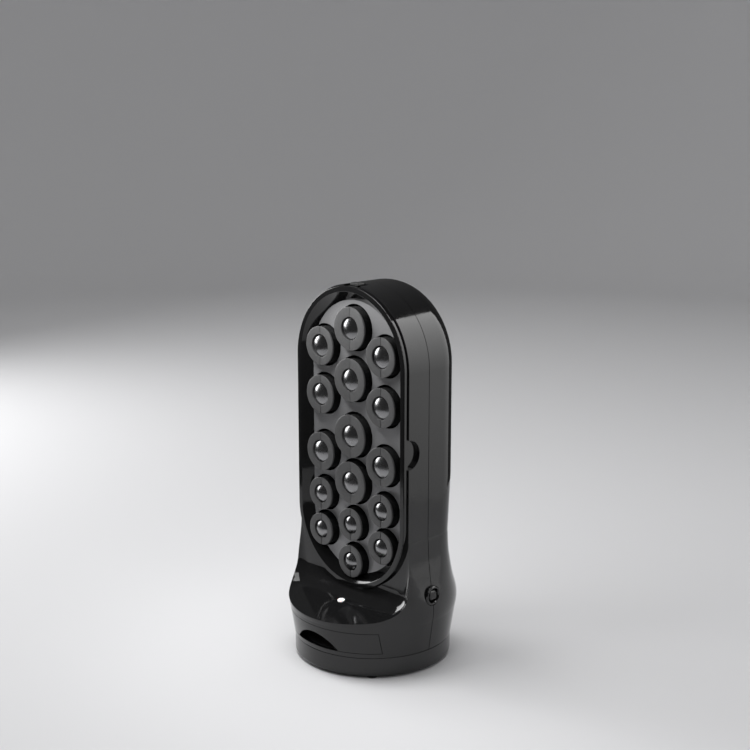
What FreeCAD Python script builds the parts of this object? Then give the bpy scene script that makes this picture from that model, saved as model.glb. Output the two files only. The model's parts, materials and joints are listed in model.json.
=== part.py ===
"""Standing heater for sixteen hair rollers.

A round foot carries an upright housing with an arched top.  The front of the housing is open and
holds a rimmed tray; sixteen flocked rollers stand on heated posts in the tray, in three columns.
A scooped bowl is cut into the foot below the tray, and a curved drawer slides out under the bowl.

Frame: millimetres, +Z up, front of the object towards -Y, origin in the middle of the underside.
"""
import FreeCAD, Part
import os
import re
import Sketcher
from math import radians

DOC = FreeCAD.newDocument("RollerHeater")
SHEET = DOC.addObject("Spreadsheet::Sheet", "Dims")
Vector = FreeCAD.Vector
Rotation = FreeCAD.Rotation

# ---------------------------------------------------------------------------------------------
# Driving dimensions: alias, value, meaning
# ---------------------------------------------------------------------------------------------
DIMENSIONS = [
    # foot and housing form
    ("BaseRadius", 70.0, "outside radius of the base ring"),
    ("BaseTop", 18.3, "height of the top edge of the base ring"),
    ("BaseSeam", 0.6, "open seam between base ring and housing"),
    ("ShoulderRadius", 76.0, "largest radius of the foot"),
    ("ShoulderHeight", 57.0, "height at which the foot is widest"),
    ("WaistHeight", 120.0, "height at which the foot has blended into the tower"),
    ("WaistBack", 38.4, "depth of the back at the waist"),
    ("StraightHeight", 170.0, "height above which the tower keeps one section"),
    ("ArchHeight", 268.0, "height of the centre of the arched top"),
    ("TowerHalfWidth", 68.0, "half the width of the tower"),
    ("TowerFront", 24.2, "front edge of the housing, in front of the seam"),
    ("FormFront", 48.0, "depth of the form before its front is cut open"),
    ("TowerBack", 41.5, "back of the tower, behind the seam"),
    ("BackRadius", 22.0, "rounding of the back edges"),
    ("Wall", 2.5, "wall of the housing shells"),
    ("PadInside", 2.0, "backing of a recess inside the floor of the recess"),
    ("PadOverlap", 1.5, "backing of a recess outside that floor"),
    ("SeatGap", 0.1, "lens, inlet and deck to their seats"),
    ("SeamWidth", 0.6, "groove along the seam of the two shells"),
    ("SeamDepth", 0.9, "depth of that groove"),
    # bowl
    ("BowlLip", 49.5, "height of the lip of the bowl at the front"),
    ("BowlRise", 0.17, "slope of the bowl floor towards the back"),
    ("BowlReach", 74.0, "distance of the front of the lip from the middle"),
    ("BowlHalfWidth", 72.0, "half the width of the bowl at its lip"),
    ("BowlDraft", 0.14, "outward slope of the sides of the bowl"),
    ("BowlRadius", 20.0, "rounding of the bowl floor into its walls"),
    ("BowlCorner", 13.0, "rounding of the upright corners of the bowl"),
    # tray and deck
    ("TrayLow", 132.0, "height of the centre of the lower end of the tray"),
    ("RimHalfWidth", 66.5, "outside of the tray rim"),
    ("RimWidth", 4.6, "front face of the tray rim"),
    ("RimFront", 28.7, "front face of the tray rim"),
    ("RimEdge", 0.8, "rounding of the edges of the tray rim"),
    ("RimGap", 0.15, "tray rim to the wall of the bowl below it"),
    ("TrayHalfWidth", 61.5, "tray body behind the rim"),
    ("TrayClearance", 0.4, "tray body to housing opening"),
    ("TrayRear", 16.5, "rear edge of the tray body"),
    ("DeckFront", 20.5, "front face of the deck plate"),
    ("DeckThickness", 1.6, "deck plate"),
    ("DeckHalfWidth", 58.5, "deck plate, half width"),
    ("DeckWindow", 54.0, "window of the tray in front of the deck"),
    ("DeckHoleGap", 1.8, "gap round each roller in the deck"),
    # rollers and posts
    ("RollerFront", 28.5, "front face of the rollers"),
    ("RollerLength", 57.0, "length of a roller"),
    ("RollerColumn", 37.7, "distance of the outer columns from the middle"),
    ("JumboRadius", 18.9, "end rings of the four jumbo rollers"),
    ("LargeRadius", 17.2, "end rings of the six large rollers"),
    ("MediumRadius", 14.7, "end rings of the six medium rollers"),
    ("WideBore", 10.15, "bore radius of jumbo and large rollers"),
    ("NarrowBore", 8.4, "bore radius of medium rollers"),
    ("PostGap", 0.4, "post to bore, all round"),
    ("RingThickness", 3.2, "thickness of an end ring"),
    ("RingProud", 0.35, "end ring outside the barrel"),
    ("SlotWidth", 0.8, "split lines in the face of an end ring"),
    ("SlotDepth", 1.4, "depth of the split lines"),
    ("CapRecess", 2.2, "edge of a post cap behind the ring face"),
    ("CapHeight", 3.6, "height of the dome of a post cap"),
    ("CapDepth", 3.0, "straight part of a post cap"),
    # heater stack
    ("HeaterFront", 28.8, "front face of the heater plate, behind the seam"),
    ("HeaterThickness", 3.0, "aluminium heater plate"),
    ("HeaterHalfWidth", 53.0, "heater plate, half width"),
    ("ElementThickness", 0.8, "flat heating element"),
    ("ElementInset", 2.0, "heating element inside the edge of the heater plate"),
    ("ElementGap", 1.0, "heating element to the shield spacers"),
    ("ShieldGap", 0.8, "air gap in front of the heat shield"),
    ("ShieldThickness", 0.6, "heat shield"),
    # base
    ("FootHeight", 1.2, "rubber feet below the base ring"),
    ("PadRadius", 5.0, "radius of the rubber feet"),
    ("LedgeWidth", 2.0, "ledge and spigot wall of the base ring"),
    ("CoverGap", 0.4, "bottom cover to the wall of the base ring"),
    ("CoverScrewCircle", 54.6, "distance of the cover screws from the middle"),
    ("CoverScrewGrip", 7.0, "length of the cover screws in their sleeves"),
    ("BaseWall", 3.0, "wall of the base ring"),
    ("BaseFloor", 2.2, "inward flange at the bottom of the base ring"),
    ("BaseFlange", 12.0, "width of that flange from the outside"),
    ("BaseEdge", 3.0, "rounding of the bottom edge of the base ring"),
    ("SpigotHeight", 3.4, "spigot of the base ring inside the housing"),
    ("SpigotGap", 0.3, "spigot to housing wall"),
    ("ShelfThickness", 1.5, "shelf under the drawer"),
    ("ShelfReach", 40.0, "half the length of the drawer runners"),
    ("RunnerHeight", 1.6, "drawer runners above the shelf"),
    ("ShelfGap", 0.2, "shelf to the wall of the base ring"),
    ("RunnerWidth", 5.0, "width of the drawer runners"),
    ("RunnerInset", 3.0, "runners inside the side walls of the tub"),
    ("GuideDrop", 8.0, "top of the drawer guides below the top of the tub"),
    ("GuideInset", 6.0, "guides shorter than the runners at each end"),
    ("StopInset", 10.0, "drawer stop narrower than the tub on each side"),
    # drawer
    ("DrawerHalfWidth", 56.0, "half the width of the drawer front"),
    ("DrawerBottom", 23.3, "lower edge of the drawer front"),
    ("DrawerTop", 42.0, "upper edge of the drawer front"),
    ("DrawerGap", 0.4, "gap round the drawer front"),
    ("TubHalfWidth", 49.0, "half the width of the drawer tub"),
    ("TubBack", 6.0, "rear wall of the drawer tub"),
    ("TubTop", 38.0, "top edge of the drawer tub"),
    ("TubWall", 1.8, "walls of the drawer tub"),
    ("TubFront", 49.0, "front of the hollow of the tub"),
    ("ArchHalfWidth", 25.0, "half the width of the finger arch in the drawer front"),
    ("ArchRise", 12.5, "height of the finger arch"),
    # switch
    ("SwitchHeight", 69.5, "height of the switch"),
    ("SwitchRadius", 8.7, "outside radius of the switch bezel"),
    ("SwitchFace", 75.6, "face of the switch bezel from the middle plane"),
    ("SwitchSeat", 71.0, "rear of the switch bezel from the middle plane"),
    ("SwitchDepth", 13.0, "depth of the switch body behind the bezel"),
    ("SwitchEdge", 0.8, "rounding of the switch bezel"),
    ("SwitchFlange", 1.3, "flange of the bezel outside the switch body"),
    ("SwitchGap", 0.2, "switch to its hole in the shells"),
    ("RockerHalfWidth", 4.5, "half the width of the rocker"),
    ("RockerRadius", 5.7, "radius of the rocker about its pivot"),
    ("RockerFace", 4.6, "flat face of the rocker from its pivot"),
    ("RockerPivot", 5.4, "pivot of the rocker behind the face of the bezel"),
    ("RockerGap", 0.3, "rocker to bezel and body"),
    ("RockerTilt", 7.0, "tilt of the rocker either side of level, in degrees"),
    # finger notches, latch, lamp, cord inlet
    ("NotchHeight", 198.0, "height of the finger notches"),
    ("NotchRadius", 13.0, "radius of the finger notches"),
    ("NotchDepth", 3.6, "depth of the finger notches"),
    ("LatchHalfWidth", 10.0, "half the width of the latch recess"),
    ("LatchBack", 13.5, "rear end of the latch recess, in front of the seam"),
    ("LatchDepth", 3.4, "depth of the latch recess below the top"),
    ("LatchTravel", 1.8, "travel of the latch button"),
    ("LatchMiddle", 18.4, "middle of the latch button, in front of the seam"),
    ("LatchLength", 7.0, "length of the latch button, front to back"),
    ("LatchButton", 5.5, "half the width of the latch button"),
    ("LatchProud", 0.8, "latch button above the top of the housing"),
    ("LatchEdge", 0.8, "rounding of the top edges of the latch button"),
    ("LatchGap", 0.3, "latch button stem to its hole, and button to the recess at full travel"),
    ("LatchStemRadius", 2.0, "stem of the latch button"),
    ("LensProud", 1.0, "pilot lens above the floor of the bowl"),
    ("LensEdge", 0.9, "rounding of the pilot lens"),
    ("LensWall", 1.0, "wall of the pilot lens"),
    ("LensBelow", 1.5, "pilot lens below the wall of the bowl"),
    ("LampGap", 0.4, "pilot lamp to the inside of its lens"),
    ("LampForward", 39.0, "pilot lamp in front of the middle"),
    ("LampRadius", 3.2, "radius of the pilot lens"),
    ("InletHeight", 26.5, "height of the cord inlet"),
    ("InletRadius", 3.9, "outside radius of the cord inlet"),
    ("InletBore", 2.9, "bore radius of the cord inlet"),
    ("InletLength", 12.0, "length of the cord inlet, inwards from the base radius"),
    ("BlockFront", 22.0, "front of the terminal block, behind the middle"),
    ("BlockDepth", 14.0, "depth and height of the terminal block"),
    ("BlockHalfWidth", 13.0, "half the width of the terminal block"),
    ("PillarRadius", 3.0, "pillars between deck and heater plate"),
    ("PillarBore", 8.0, "depth of the screw holes in the pillars"),
    ("TabHalfWidth", 10.0, "half the width of the tab below the heater plate"),
    ("TabBottom", 56.0, "lower edge of that tab"),
    ("ThermostatRadius", 5.5, "thermostat on the tab"),
    ("ThermostatLength", 8.0, "length of the thermostat"),
    ("ThermostatHeight", 64.0, "height of thermostat and thermal fuse"),
    ("FuseRadius", 2.0, "thermal fuse"),
    ("FuseLength", 16.0, "length of the thermal fuse"),
    ("ScrewRadius", 1.5, "shank radius of the screws"),
    ("ScrewGap", 0.1, "screw shank to its hole"),
    ("HeadRadius", 2.8, "head radius of the screws"),
    ("HeadHeight", 1.8, "head height of the screws"),
    ("WellRadius", 3.4, "screw wells in the back"),
    ("BossWall", 1.6, "wall round a screw well"),
]

COLUMN_HEIGHTS = {
    "middle": [297.9, 252.9, 203.1, 160.9, 122.7, 88.7],
    "side": [278.1, 234.5, 182.6, 143.3, 110.0],
}
KINDS = {
    "middle": ["Jumbo", "Jumbo", "Jumbo", "Jumbo", "Medium", "Medium"],
    "side": ["Large", "Large", "Large", "Medium", "Medium"],
}
BORES = {"Jumbo": "WideBore", "Large": "WideBore", "Medium": "NarrowBore"}


def fill_sheet():
    """Write the driving dimensions, and the height of every roller, into the sheet."""
    rows = list(DIMENSIONS)
    for column, heights in COLUMN_HEIGHTS.items():
        for number, height in enumerate(heights):
            alias = column.capitalize() + "Row" + "ABCDEF"[number]
            rows.append((alias, height, f"height of roller {number + 1} in a {column} column"))
    for row, (alias, number, meaning) in enumerate(rows, start=1):
        SHEET.set(f"A{row}", meaning)
        SHEET.set(f"B{row}", str(number))
        SHEET.setAlias(f"B{row}", alias)
    DOC.recompute()


def bound(expression):
    """The expression with every alias read from the sheet."""
    return re.sub(r"\b([A-Z][A-Za-z]+)\b", r"Dims.\1", str(expression))


def value(expression):
    """The number that an expression of aliases gives."""
    return float(SHEET.evalExpression(bound(expression)))


def bind(thing, **properties):
    """Tie properties to the sheet; a double underscore stands for a dot."""
    for name, expression in properties.items():
        thing.setExpression(name.replace("__", "."), bound(expression))
    return thing


def place(thing, x="0", y="0", z="0", rotation=None):
    """Put a thing at a bound position, turned by a fixed rotation."""
    if rotation is not None:
        thing.Placement = FreeCAD.Placement(Vector(), rotation)
    for axis, expression in (("x", x), ("y", y), ("z", z)):
        thing.setExpression("Placement.Base." + axis, bound(expression))
    return thing


ALONG = {
    "x": Rotation(Vector(0, 1, 0), 90),
    "y": Rotation(Vector(1, 0, 0), -90),
    "z": Rotation(),
}
UPRIGHT = Rotation(Vector(1, 0, 0), 90)      # sketch plane XY turned into XZ, its normal to -Y
SIDEWAYS = Rotation(Vector(1, 1, 1), 120)    # sketch plane XY turned into YZ, its normal to +X
OUTWARD = Rotation(Vector(0, 0, 1), Vector(1, 1, 0))   # +Z turned to the rear right


# ---------------------------------------------------------------------------------------------
# Solids and booleans
# ---------------------------------------------------------------------------------------------
def cylinder(name, radius, length, x="0", y="0", z="0", along="z"):
    """A cylinder that starts at a point and runs along an axis."""
    made = DOC.addObject("Part::Cylinder", name)
    bind(made, Radius=radius, Height=length)
    return place(made, x, y, z, ALONG[along])


def box(name, x, y, z):
    """A box given by its lower and upper bound along each axis."""
    made = DOC.addObject("Part::Box", name)
    bind(made, Length=f"({x[1]}) - ({x[0]})", Width=f"({y[1]}) - ({y[0]})", Height=f"({z[1]}) - ({z[0]})")
    return place(made, x[0], y[0], z[0])


def fuse(name, pieces):
    """One shape out of several that touch."""
    made = DOC.addObject("Part::MultiFuse", name)
    made.Shapes = pieces
    made.Refine = True
    return made


def group(name, pieces):
    """Identical fasteners or posts, kept as separate solids."""
    made = DOC.addObject("Part::Compound", name)
    made.Links = pieces
    return made


def cut(name, base, tools):
    """The base without the tools."""
    made = DOC.addObject("Part::Cut", name)
    made.Base = base
    made.Tool = tools[0] if len(tools) == 1 else fuse(name + "Tools", tools)
    return made


def common(name, first, second):
    """What two shapes share."""
    made = DOC.addObject("Part::Common", name)
    made.Base = first
    made.Tool = second
    return made


def extrude(name, sketch, vector):
    """A sketch drawn out along a vector whose lengths are expressions."""
    made = DOC.addObject("Part::Extrusion", name)
    made.Base = sketch
    made.DirMode = "Custom"
    made.Solid = True
    length = [part for part in vector if part != "0"][0]
    made.Dir = Vector(*(0 if part == "0" else 1 for part in vector))
    bind(made, LengthFwd=length)
    return made


def revolve(name, sketch, axis, z="0", x="0", angle=360):
    """A sketch turned about an axis through a point."""
    made = DOC.addObject("Part::Revolution", name)
    made.Source = sketch
    made.Axis = Vector(*axis)
    made.Angle = angle
    made.Solid = True
    return bind(made, Base__x=x, Base__z=z)


def loft(name, sections, ruled=False):
    """A solid through closed sketches."""
    made = DOC.addObject("Part::Loft", name)
    made.Sections = sections
    made.Solid = True
    made.Ruled = ruled
    return made


def round_edges(name, base, radii):
    """Round the edges that each rule picks, by the radius that goes with the rule."""
    DOC.recompute()
    chosen = []
    for number, edge in enumerate(base.Shape.Edges, start=1):
        for rule, radius in radii:
            if rule(edge):
                chosen.append((number, value(radius), value(radius)))
                break
    made = DOC.addObject("Part::Fillet", name)
    made.Base = base
    made.Edges = chosen
    return made


# ---------------------------------------------------------------------------------------------
# Sketches
# ---------------------------------------------------------------------------------------------
def pin(sketch, geometry, point, x, y):
    """Dimension one end of a line or arc from the sketch origin."""
    for kind, axis, expression in (("DistanceX", -2, x), ("DistanceY", -1, y)):
        if abs(value(expression)) < 1e-9:
            sketch.addConstraint(Sketcher.Constraint("PointOnObject", geometry, point, axis))
            continue
        index = sketch.addConstraint(
            Sketcher.Constraint(kind, -1, 1, geometry, point, value(expression)))
        sketch.setExpression(f"Constraints[{index}]", bound(expression))


def outline(name, corners, owner=DOC):
    """A closed sketch of straight lines whose corners are pairs of expressions."""
    sketch = owner.addObject("Sketcher::SketchObject", name) if owner is DOC \
        else owner.newObject("Sketcher::SketchObject", name)
    points = [Vector(value(x), value(y), 0) for x, y in corners]
    count = len(points)
    for number, point in enumerate(points):
        sketch.addGeometry(Part.LineSegment(point, points[(number + 1) % count]))
    for number, (x, y) in enumerate(corners):
        previous = (number - 1) % count
        sketch.addConstraint(Sketcher.Constraint("Coincident", previous, 2, number, 1))
        pin(sketch, number, 1, x, y)
    return sketch


def arc(centre, radius, start, end):
    """An arc from a start angle to an end angle, in degrees."""
    circle = Part.Circle(centre, Vector(0, 0, 1), radius)
    return Part.ArcOfCircle(circle, radians(start), radians(end))


def smooth_loop(sketch, count):
    """Join each piece of a closed outline tangentially to the next."""
    for number in range(count):
        following = (number + 1) % count
        sketch.addConstraint(Sketcher.Constraint("Tangent", number, 2, following, 1))


def dimension(sketch, constraint, expression):
    """Add a constraint whose value is bound to the sheet."""
    index = sketch.addConstraint(constraint)
    sketch.setExpression(f"Constraints[{index}]", bound(expression))


def section(name, z, half_width, front, back, front_radius, back_radius):
    """A level section of the housing: a rectangle with rounded front and back corners."""
    sketch = DOC.addObject("Sketcher::SketchObject", name)
    w, f, b = value(half_width), value(front), value(back)
    p, q = value(front_radius), value(back_radius)
    sketch.addGeometry(Part.LineSegment(Vector(w, p - f, 0), Vector(w, b - q, 0)))
    sketch.addGeometry(arc(Vector(w - q, b - q, 0), q, 0, 90))
    sketch.addGeometry(Part.LineSegment(Vector(w - q, b, 0), Vector(q - w, b, 0)))
    sketch.addGeometry(arc(Vector(q - w, b - q, 0), q, 90, 180))
    sketch.addGeometry(Part.LineSegment(Vector(-w, b - q, 0), Vector(-w, p - f, 0)))
    sketch.addGeometry(arc(Vector(p - w, p - f, 0), p, 180, 270))
    sketch.addGeometry(Part.LineSegment(Vector(p - w, -f, 0), Vector(w - p, -f, 0)))
    sketch.addGeometry(arc(Vector(w - p, p - f, 0), p, 270, 360))
    smooth_loop(sketch, 8)
    for number, kind in ((0, "Vertical"), (2, "Horizontal"), (4, "Vertical"), (6, "Horizontal")):
        sketch.addConstraint(Sketcher.Constraint(kind, number))
    sketch.addConstraint(Sketcher.Constraint("Equal", 1, 3))
    sketch.addConstraint(Sketcher.Constraint("Equal", 5, 7))
    dimension(sketch, Sketcher.Constraint("Radius", 1, q), back_radius)
    dimension(sketch, Sketcher.Constraint("Radius", 5, p), front_radius)
    dimension(sketch, Sketcher.Constraint("DistanceX", -1, 1, 0, 1, w), half_width)
    dimension(sketch, Sketcher.Constraint("DistanceX", 4, 1, -1, 1, w), half_width)
    dimension(sketch, Sketcher.Constraint("DistanceY", 6, 1, -1, 1, f), front)
    dimension(sketch, Sketcher.Constraint("DistanceY", -1, 1, 2, 1, b), back)
    return place(sketch, z=z)


def half_section(name, z, half_width, front, back, front_radius, back_radius):
    """The right half of the same section, closed along the middle plane."""
    sketch = DOC.addObject("Sketcher::SketchObject", name)
    w, f, b = value(half_width), value(front), value(back)
    p, q = value(front_radius), value(back_radius)
    sketch.addGeometry(Part.LineSegment(Vector(0, -f, 0), Vector(w - p, -f, 0)))
    sketch.addGeometry(arc(Vector(w - p, p - f, 0), p, 270, 360))
    sketch.addGeometry(Part.LineSegment(Vector(w, p - f, 0), Vector(w, b - q, 0)))
    sketch.addGeometry(arc(Vector(w - q, b - q, 0), q, 0, 90))
    sketch.addGeometry(Part.LineSegment(Vector(w - q, b, 0), Vector(0, b, 0)))
    sketch.addGeometry(Part.LineSegment(Vector(0, b, 0), Vector(0, -f, 0)))
    for number in range(4):
        sketch.addConstraint(Sketcher.Constraint("Tangent", number, 2, number + 1, 1))
    sketch.addConstraint(Sketcher.Constraint("Coincident", 4, 2, 5, 1))
    sketch.addConstraint(Sketcher.Constraint("Coincident", 5, 2, 0, 1))
    for number, kind in ((0, "Horizontal"), (2, "Vertical"), (4, "Horizontal")):
        sketch.addConstraint(Sketcher.Constraint(kind, number))
    sketch.addConstraint(Sketcher.Constraint("PointOnObject", 5, 1, -2))
    sketch.addConstraint(Sketcher.Constraint("PointOnObject", 5, 2, -2))
    dimension(sketch, Sketcher.Constraint("Radius", 1, p), front_radius)
    dimension(sketch, Sketcher.Constraint("Radius", 3, q), back_radius)
    dimension(sketch, Sketcher.Constraint("DistanceX", -1, 1, 2, 1, w), half_width)
    dimension(sketch, Sketcher.Constraint("DistanceY", 0, 1, -1, 1, f), front)
    dimension(sketch, Sketcher.Constraint("DistanceY", -1, 1, 4, 1, b), back)
    return place(sketch, z=z)


def stadium(name, half_width, y):
    """An upright outline with two round ends, seen from the front, at a depth."""
    sketch = DOC.addObject("Sketcher::SketchObject", name)
    w, low, high = value(half_width), value("TrayLow"), value("ArchHeight")
    sketch.addGeometry(Part.LineSegment(Vector(w, low, 0), Vector(w, high, 0)))
    sketch.addGeometry(arc(Vector(0, high, 0), w, 0, 180))
    sketch.addGeometry(Part.LineSegment(Vector(-w, high, 0), Vector(-w, low, 0)))
    sketch.addGeometry(arc(Vector(0, low, 0), w, 180, 360))
    smooth_loop(sketch, 4)
    sketch.addConstraint(Sketcher.Constraint("Vertical", 0))
    sketch.addConstraint(Sketcher.Constraint("PointOnObject", 1, 3, -2))
    sketch.addConstraint(Sketcher.Constraint("PointOnObject", 3, 3, -2))
    dimension(sketch, Sketcher.Constraint("Radius", 1, w), half_width)
    dimension(sketch, Sketcher.Constraint("DistanceY", -1, 1, 1, 3, high), "ArchHeight")
    dimension(sketch, Sketcher.Constraint("DistanceY", -1, 1, 3, 3, low), "TrayLow")
    return place(sketch, y=y, rotation=UPRIGHT)


def stadium_plate(name, half_width, front, back):
    """A flat plate with two round ends between two depths."""
    return extrude(name, stadium(name + "Outline", half_width, front), ("0", f"({back}) - ({front})", "0"))


# ---------------------------------------------------------------------------------------------
# Housing
# ---------------------------------------------------------------------------------------------
FOOT_TOP = 0.7                                   # share of the foot's height that is a plain cone
FOOT_STEPS = [FOOT_TOP, 0.87]
FLARE_STEPS = [0.10, 0.25, 0.42, 0.60, 0.80, 1.0]
SIDE_CURVE = 1.6                                 # how fast the sides of the foot run into the tower
DEPTH_CURVE = 2.0                                # the same for its front and back
ROUND = 1.0                                      # half the flat left on each side of a round section
FAR = 120.0                                      # reach of the cutting tools beyond the object
PAST = 1.0                                       # how far a drill runs past a face
JOIN = 0.5                                       # how deep a fused piece sits in the next one


def round_section(name, step, inset):
    """A round section of the foot, at a share of the height up to its shoulder."""
    radius = f"BaseRadius + (ShoulderRadius - BaseRadius) * {step} - {inset}"
    height = f"BaseTop + BaseSeam + (ShoulderHeight - BaseTop - BaseSeam) * {step}"
    rounding = f"{radius} - {ROUND}"
    return section(name, height, radius, radius, radius, rounding, rounding)


def form(name, inset="0"):
    """The outer form of the housing with its front still closed, moved inwards by an inset."""
    bottom = round_section(name + "Bottom", 0, inset)
    sections = [round_section(f"{name}Foot{number}", step, inset)
                for number, step in enumerate(FOOT_STEPS)]
    cone = loft(name + "Cone", [bottom, sections[0]], ruled=True)
    blend = "ShoulderRadius + ({0} - ShoulderRadius) * {1} - {2}"
    for number, step in enumerate(FLARE_STEPS):
        side = 1 - (1 - step) ** SIDE_CURVE
        depth = 1 - (1 - step) ** DEPTH_CURVE
        corner = blend.format("BackRadius", depth, f"{inset} - {ROUND * (1 - depth)}")
        sections.append(section(
            f"{name}Flare{number}",
            f"ShoulderHeight + (WaistHeight - ShoulderHeight) * {step}",
            blend.format("TowerHalfWidth", side, inset),
            blend.format("FormFront", depth, inset),
            blend.format("WaistBack", depth, inset),
            corner, corner))
    foot = loft(name + "FootLoft", sections)
    sides = (f"TowerHalfWidth - {inset}", f"FormFront - {inset}", f"TowerBack - {inset}")
    corners = (f"BackRadius - {inset}", f"BackRadius - {inset}")
    straight = section(name + "Straight", "StraightHeight", *sides, *corners)
    spring = section(name + "Spring", "ArchHeight", *sides, *corners)
    lower = loft(name + "Lower", [sections[-1], straight], ruled=True)
    upper = loft(name + "Upper", [straight, spring], ruled=True)
    half = half_section(name + "Half", "ArchHeight", *sides, *corners)
    arch = revolve(name + "Arch", half, (0, -1, 0), z="ArchHeight", angle=180)
    return fuse(name, [cone, foot, lower, upper, arch])


def bowl_tool(name, grow="0"):
    """What is cut off the front: a sloping bowl floor, leaning sides and the flat front plane."""
    back = f"-TowerFront + {grow}"
    floor = f"BowlLip - {grow} + BowlRise * (BowlReach + ({{0}}))"
    top = f"ArchHeight + TowerHalfWidth + {FAR}"
    profile = outline(name + "Profile", [
        (back, top), (back, floor.format(back)), (f"-{FAR}", floor.format(f"-{FAR}")), (f"-{FAR}", top)])
    place(profile, x=f"-2 * {FAR}", rotation=SIDEWAYS)
    slab = extrude(name + "Slab", profile, (f"4 * {FAR}", "0", "0"))
    foot = f"BowlHalfWidth + {grow} - BowlDraft * {FAR}"
    head = f"BowlHalfWidth + {grow} + BowlDraft * (ArchHeight + TowerHalfWidth + {FAR} - BowlLip)"
    front = outline(name + "Front", [
        (f"-({foot})", f"BowlLip - {FAR}"), (foot, f"BowlLip - {FAR}"), (head, top), (f"-({head})", top)])
    place(front, y="0", rotation=UPRIGHT)
    wedge = extrude(name + "Wedge", front, ("0", f"-2 * {FAR}", "0"))
    block = common(name + "Block", slab, wedge)

    def at_back(edge):
        return edge.BoundBox.YMin > value(back) - 0.01

    def at_side(edge):
        return abs(edge.CenterOfMass.x) > 0.01 * FAR

    def low(edge):
        return edge.CenterOfMass.z < value("BowlLip + BowlRise * BowlReach")

    return round_edges(name, block, [
        (lambda edge: at_back(edge) and low(edge), f"BowlRadius + {grow}"),
        (lambda edge: at_back(edge) and at_side(edge) and edge.BoundBox.ZLength > FAR,
         f"BowlCorner + {grow}"),
        (lambda edge: at_side(edge) and low(edge) and not at_back(edge) and edge.BoundBox.YLength > FAR / 2,
         f"BowlRadius + {grow}")])


STACK_FIXINGS = [(side * across, height) for across, height in ((50.0, 256.3), (50.0, 208.5), (22.0, 86.0))
                 for side in (-1, 1)]


def fixings(name, radius, front, back):
    """A cylinder between two depths at each fixing of the heater stack."""
    return [cylinder(f"{name}{number}", radius, f"({back}) - ({front})", str(x), front, str(z), along="y")
            for number, (x, z) in enumerate(STACK_FIXINGS)]


PARTS = []


def part(label, thing):
    """Name a finished sub-part."""
    thing.Label = label
    PARTS.append(thing)
    return thing


def half_space(side):
    """Bounds of everything in front of the seam of the shells, or behind it."""
    depth = (f"-{FAR}", "0") if side == "front" else ("0", FAR)
    return (f"-{FAR}", FAR), depth, ("0", f"4 * {FAR}")


def front_housing(shell):
    """Front shell: open tray mouth, drawer mouth, finger notches, latch recess and lamp hole."""
    half = common("FrontHalf", shell, box("FrontSpace", *half_space("front")))
    top = "ArchHeight + TowerHalfWidth"
    floor = "TowerHalfWidth - NotchDepth"
    added = [half, box("LatchPad", ("-LatchHalfWidth - Wall", "LatchHalfWidth + Wall"),
                       ("-TowerFront", "-LatchBack + Wall"),
                       (f"{top} - LatchDepth - PadInside", f"{top} - LatchDepth + PadOverlap"))]
    tools = [
        stadium_plate("TrayMouth", "TrayHalfWidth + TrayClearance", f"-{FAR}", "-TowerFront + 2 * Wall"),
        stadium_plate("RimSeat", "RimHalfWidth + RimGap", f"-{FAR}", "-TowerFront"),
        box("DrawerMouth", ("-DrawerHalfWidth - DrawerGap", "DrawerHalfWidth + DrawerGap"),
            (f"-{FAR}", "-TowerFront"), ("DrawerBottom - DrawerGap", "DrawerTop + DrawerGap")),
        box("LatchRecess", ("-LatchHalfWidth", "LatchHalfWidth"), ("-TowerFront - 2 * Wall", "-LatchBack"),
            (f"{top} - LatchDepth", f"{top} + 2 * Wall")),
        cylinder("LatchStemHole", "LatchStemRadius + LatchGap", "4 * LatchDepth",
                 y="-LatchMiddle", z=f"{top} - 3 * LatchDepth"),
        cylinder("LampHole", "LampRadius + SeatGap", "4 * Wall", y="-LampForward",
                 z="BowlLip + BowlRise * (BowlReach - LampForward) - 2 * Wall")]
    for side, name in ((1, "Right"), (-1, "Left")):
        disc = cylinder("NotchPad" + name, "NotchRadius + Wall", "PadInside + PadOverlap", along="x")
        place(disc, x=f"{floor} - PadInside" if side > 0 else f"-({floor}) - PadOverlap",
              y="-TowerFront", z="NotchHeight", rotation=ALONG["x"])
        keep = box("NotchSpace" + name, (f"-{FAR}", FAR), ("-TowerFront", "0"), ("0", f"4 * {FAR}"))
        added.append(common("NotchBacking" + name, disc, keep))
        scoop = cylinder("Notch" + name, "NotchRadius", "4 * NotchDepth", along="x")
        place(scoop, x=floor if side > 0 else f"-({floor}) - 4 * NotchDepth",
              y="-TowerFront", z="NotchHeight", rotation=ALONG["x"])
        tools.append(scoop)
    return cut("FrontHousing", fuse("FrontFilled", added), tools)


def rear_housing(shell):
    """Rear shell with the bosses that carry the heater stack, their screw wells and the cord inlet."""
    half = common("RearHalf", shell, box("RearSpace", *half_space("rear")))
    stack_back = "HeaterFront + HeaterThickness + ElementThickness + ShieldGap + ShieldThickness"
    bosses = fixings("StackBoss", "WellRadius + BossWall", stack_back, f"{FAR}")
    wells = fixings("StackWell", "WellRadius", f"{stack_back} + BossWall", f"TowerBack + {FAR}")
    holes = fixings("StackHole", "ScrewRadius + ScrewGap", f"{stack_back} - {PAST}", f"TowerBack + {FAR}")
    keep = common("BossSpace", fuse("StackBosses", bosses), form("BossForm", "Wall / 2"))
    inlet = cylinder("InletHole", "InletRadius + SeatGap", f"{FAR}", z="InletHeight")
    place(inlet, z="InletHeight", rotation=OUTWARD)
    return cut("RearHousing", fuse("RearFilled", [half, keep]), wells + holes + [inlet])


def seam_groove(skin):
    """The thin groove along the joint of the two shells."""
    ring = box("SeamSlab", (f"-{FAR}", FAR), ("-SeamWidth / 2", "SeamWidth / 2"), ("0", f"4 * {FAR}"))
    return cut("SeamGroove", ring, [skin])


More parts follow.
